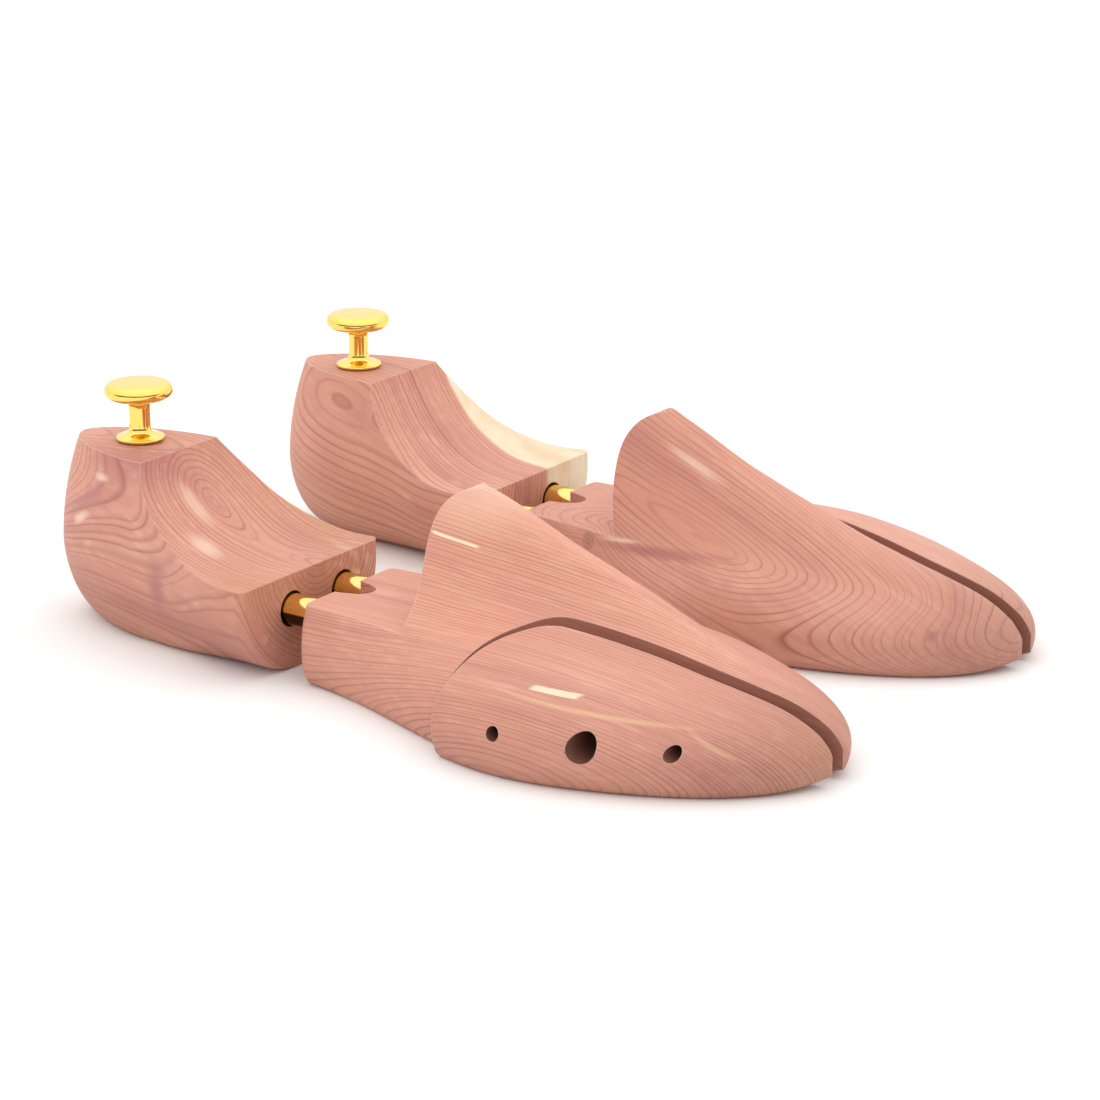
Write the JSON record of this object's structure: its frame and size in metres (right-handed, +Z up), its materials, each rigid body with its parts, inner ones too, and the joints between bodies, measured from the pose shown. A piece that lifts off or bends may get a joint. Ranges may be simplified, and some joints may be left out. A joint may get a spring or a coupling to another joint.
{
  "type": "pair of shoe trees",
  "caption": "Left and right split-toe shoe trees: cedar heel, toe and side blocks on sprung brass tubes, with a round brass pull on each heel.",
  "frame": {"origin": "centre of the whole pair at the surface it stands on", "axes": "+X from the heels to the toes, +Y from the right tree to the left tree, +Z up"},
  "size_m": [0.279, 0.216, 0.0757],
  "materials": {
    "cedar": "sanded smooth, unvarnished, with growth rings",
    "polished_brass": "mirror polished",
    "bright_steel": "bright drawn wire and rod"
  },
  "bodies": {
    "toe_blocks": {"right_toe_block": "cedar", "right_outer_tube": "polished_brass", "right_inner_tube": "polished_brass", "right_outer_tube_pin": "bright_steel", "right_inner_tube_pin": "bright_steel", "right_rear_guide_pin": "bright_steel", "right_front_guide_pin": "bright_steel", "right_stop_screw": "bright_steel", "right_side_spring": "bright_steel", "left_toe_block": "cedar", "left_outer_tube": "polished_brass", "left_inner_tube": "polished_brass", "left_outer_tube_pin": "bright_steel", "left_inner_tube_pin": "bright_steel", "left_rear_guide_pin": "bright_steel", "left_front_guide_pin": "bright_steel", "left_stop_screw": "bright_steel", "left_side_spring": "bright_steel"},
    "right_heel": {"right_heel_block": "cedar", "right_pull": "polished_brass", "right_pull_stud": "bright_steel", "right_outer_draw_rod": "bright_steel", "right_inner_draw_rod": "bright_steel", "right_outer_main_spring": "bright_steel", "right_inner_main_spring": "bright_steel"},
    "right_side": {"right_side_block": "cedar"},
    "left_heel": {"left_heel_block": "cedar", "left_pull": "polished_brass", "left_pull_stud": "bright_steel", "left_outer_draw_rod": "bright_steel", "left_inner_draw_rod": "bright_steel", "left_outer_main_spring": "bright_steel", "left_inner_main_spring": "bright_steel"},
    "left_side": {"left_side_block": "cedar"}
  },
  "joints": [
    {"name": "right_heel_slide", "type": "slide", "parent": "toe_blocks", "child": "right_heel", "axis": [1, 0, 0], "range_m": [0, 0.0105], "stiffness_N_per_m": 1500, "springref_m": -0.004, "deforming": ["right_outer_main_spring", "right_inner_main_spring"]},
    {"name": "right_side_slide", "type": "slide", "parent": "toe_blocks", "child": "right_side", "axis": [0, 1, 0], "range_m": [0, 0.005], "stiffness_N_per_m": 1200, "springref_m": -0.002, "deforming": ["right_side_spring"]},
    {"name": "left_heel_slide", "type": "slide", "parent": "toe_blocks", "child": "left_heel", "axis": [1, 0, 0], "range_m": [0, 0.0105], "stiffness_N_per_m": 1500, "springref_m": -0.004, "deforming": ["left_outer_main_spring", "left_inner_main_spring"]},
    {"name": "left_side_slide", "type": "slide", "parent": "toe_blocks", "child": "left_side", "axis": [0, -1, 0], "range_m": [0, 0.005], "stiffness_N_per_m": 1200, "springref_m": -0.002, "deforming": ["left_side_spring"]}
  ]
}
